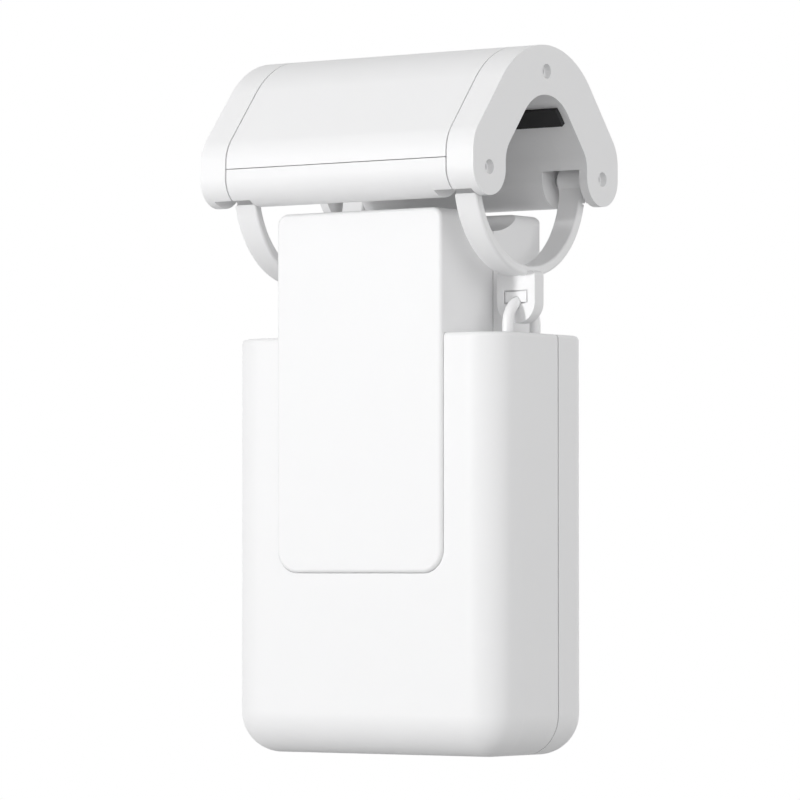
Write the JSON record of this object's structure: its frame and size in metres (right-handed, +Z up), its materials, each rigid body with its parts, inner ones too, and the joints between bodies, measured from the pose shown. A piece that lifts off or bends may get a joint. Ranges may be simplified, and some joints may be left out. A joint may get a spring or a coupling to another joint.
{
  "type": "curtain robot",
  "caption": "Curtain robot: boxy drive unit hung under a round curtain rod by an arched roller head, hinged rings and wire bails, with a sprung rubber wheel that drives along the rod.",
  "frame": {"origin": "on the curtain rod's axis, at the middle of the head's length", "axes": "+X along the rod, -Y the front with the strap cover, +Z up"},
  "size_m": [0.0852, 0.0646, 0.178],
  "materials": {
    "white_shell": "fine satin moulded texture",
    "white_chassis": "satin moulded",
    "white_wire": "white powder-coated wire",
    "white_button": "semi-gloss",
    "steel": "plain bright",
    "grey_plastic": "plain moulded",
    "gear_plastic": "natural acetal",
    "black_rubber": "matt black",
    "motor_can": "drawn can",
    "cell_sleeve": null,
    "board_green": "solder mask",
    "clear_plastic": "clear light guide"
  },
  "bodies": {
    "head": {"head_cover": "white_shell", "head_chassis": "white_chassis", "left_end_cap": "white_shell", "right_end_cap": "white_shell", "cap_screws": "steel", "hinge_pin": "steel", "latch_pin": "steel", "left_roller_axle": "steel", "right_roller_axle": "steel", "front_pad": "black_rubber", "rear_pad": "black_rubber"},
    "left_roller": {"left_roller_hub": "grey_plastic", "left_roller_tyre": "black_rubber"},
    "right_roller": {"right_roller_hub": "grey_plastic", "right_roller_tyre": "black_rubber"},
    "gate": {"left_ring": "white_shell", "right_ring": "white_shell", "left_bail": "white_wire", "right_bail": "white_wire", "slot_plugs": "white_shell", "bail_collars": "steel"},
    "drive_unit": {"bail_bushes": "grey_plastic", "front_strap_cover": "white_shell", "neck_rear_cover": "white_shell", "body_front_shell": "white_shell", "body_rear_shell": "white_shell", "shell_screws": "steel", "drive_frame": "grey_plastic", "axle_bearings": "steel", "motor": "motor_can", "battery_cells": "cell_sleeve", "battery_tray": "grey_plastic", "main_board": "board_green", "charge_port": "steel", "light_pipe": "clear_plastic"},
    "drive_wheel": {"wheel_axle": "steel", "wheel_hub": "grey_plastic", "wheel_tyre": "black_rubber", "wheel_gear": "gear_plastic"},
    "reduction_gear": {"idler_gear": "gear_plastic"},
    "pinion": {"motor_pinion": "steel"},
    "button": {"pair_button": "white_button"}
  },
  "joints": [
    {"name": "gate_swing", "type": "hinge", "parent": "head", "child": "gate", "pos_m": [0, -0.02525, -0.001], "axis": [-1, 0, 0], "range_deg": [0, 40]},
    {"name": "unit_lift", "type": "slide", "parent": "gate", "child": "drive_unit", "axis": [0, 0, 1], "range_m": [-0.008, 0], "stiffness_N_per_m": 800, "springref_m": 0.012},
    {"name": "wheel_spin", "type": "hinge", "parent": "drive_unit", "child": "drive_wheel", "pos_m": [0, 0, -0.025], "axis": [0, 1, 0], "continuous": true},
    {"name": "reduction_spin", "type": "hinge", "parent": "drive_unit", "child": "reduction_gear", "pos_m": [0, 0.014, -0.047], "axis": [0, 1, 0], "continuous": true},
    {"name": "pinion_spin", "type": "hinge", "parent": "drive_unit", "child": "pinion", "pos_m": [0, 0.014, -0.064], "axis": [0, 1, 0], "continuous": true},
    {"name": "left_roller_spin", "type": "hinge", "parent": "head", "child": "left_roller", "pos_m": [-0.018, 0, 0.0203], "axis": [0, 1, 0], "continuous": true},
    {"name": "right_roller_spin", "type": "hinge", "parent": "head", "child": "right_roller", "pos_m": [0.018, 0, 0.0203], "axis": [0, 1, 0], "continuous": true},
    {"name": "button_press", "type": "slide", "parent": "drive_unit", "child": "button", "axis": [0, 0, 1], "range_m": [0, 0.0006], "stiffness_N_per_m": 400, "springref_m": -0.001}
  ],
  "couplings": [
    {"joint": "reduction_spin", "follows": "wheel_spin", "ratio": -0.83333},
    {"joint": "pinion_spin", "follows": "wheel_spin", "ratio": 2}
  ]
}
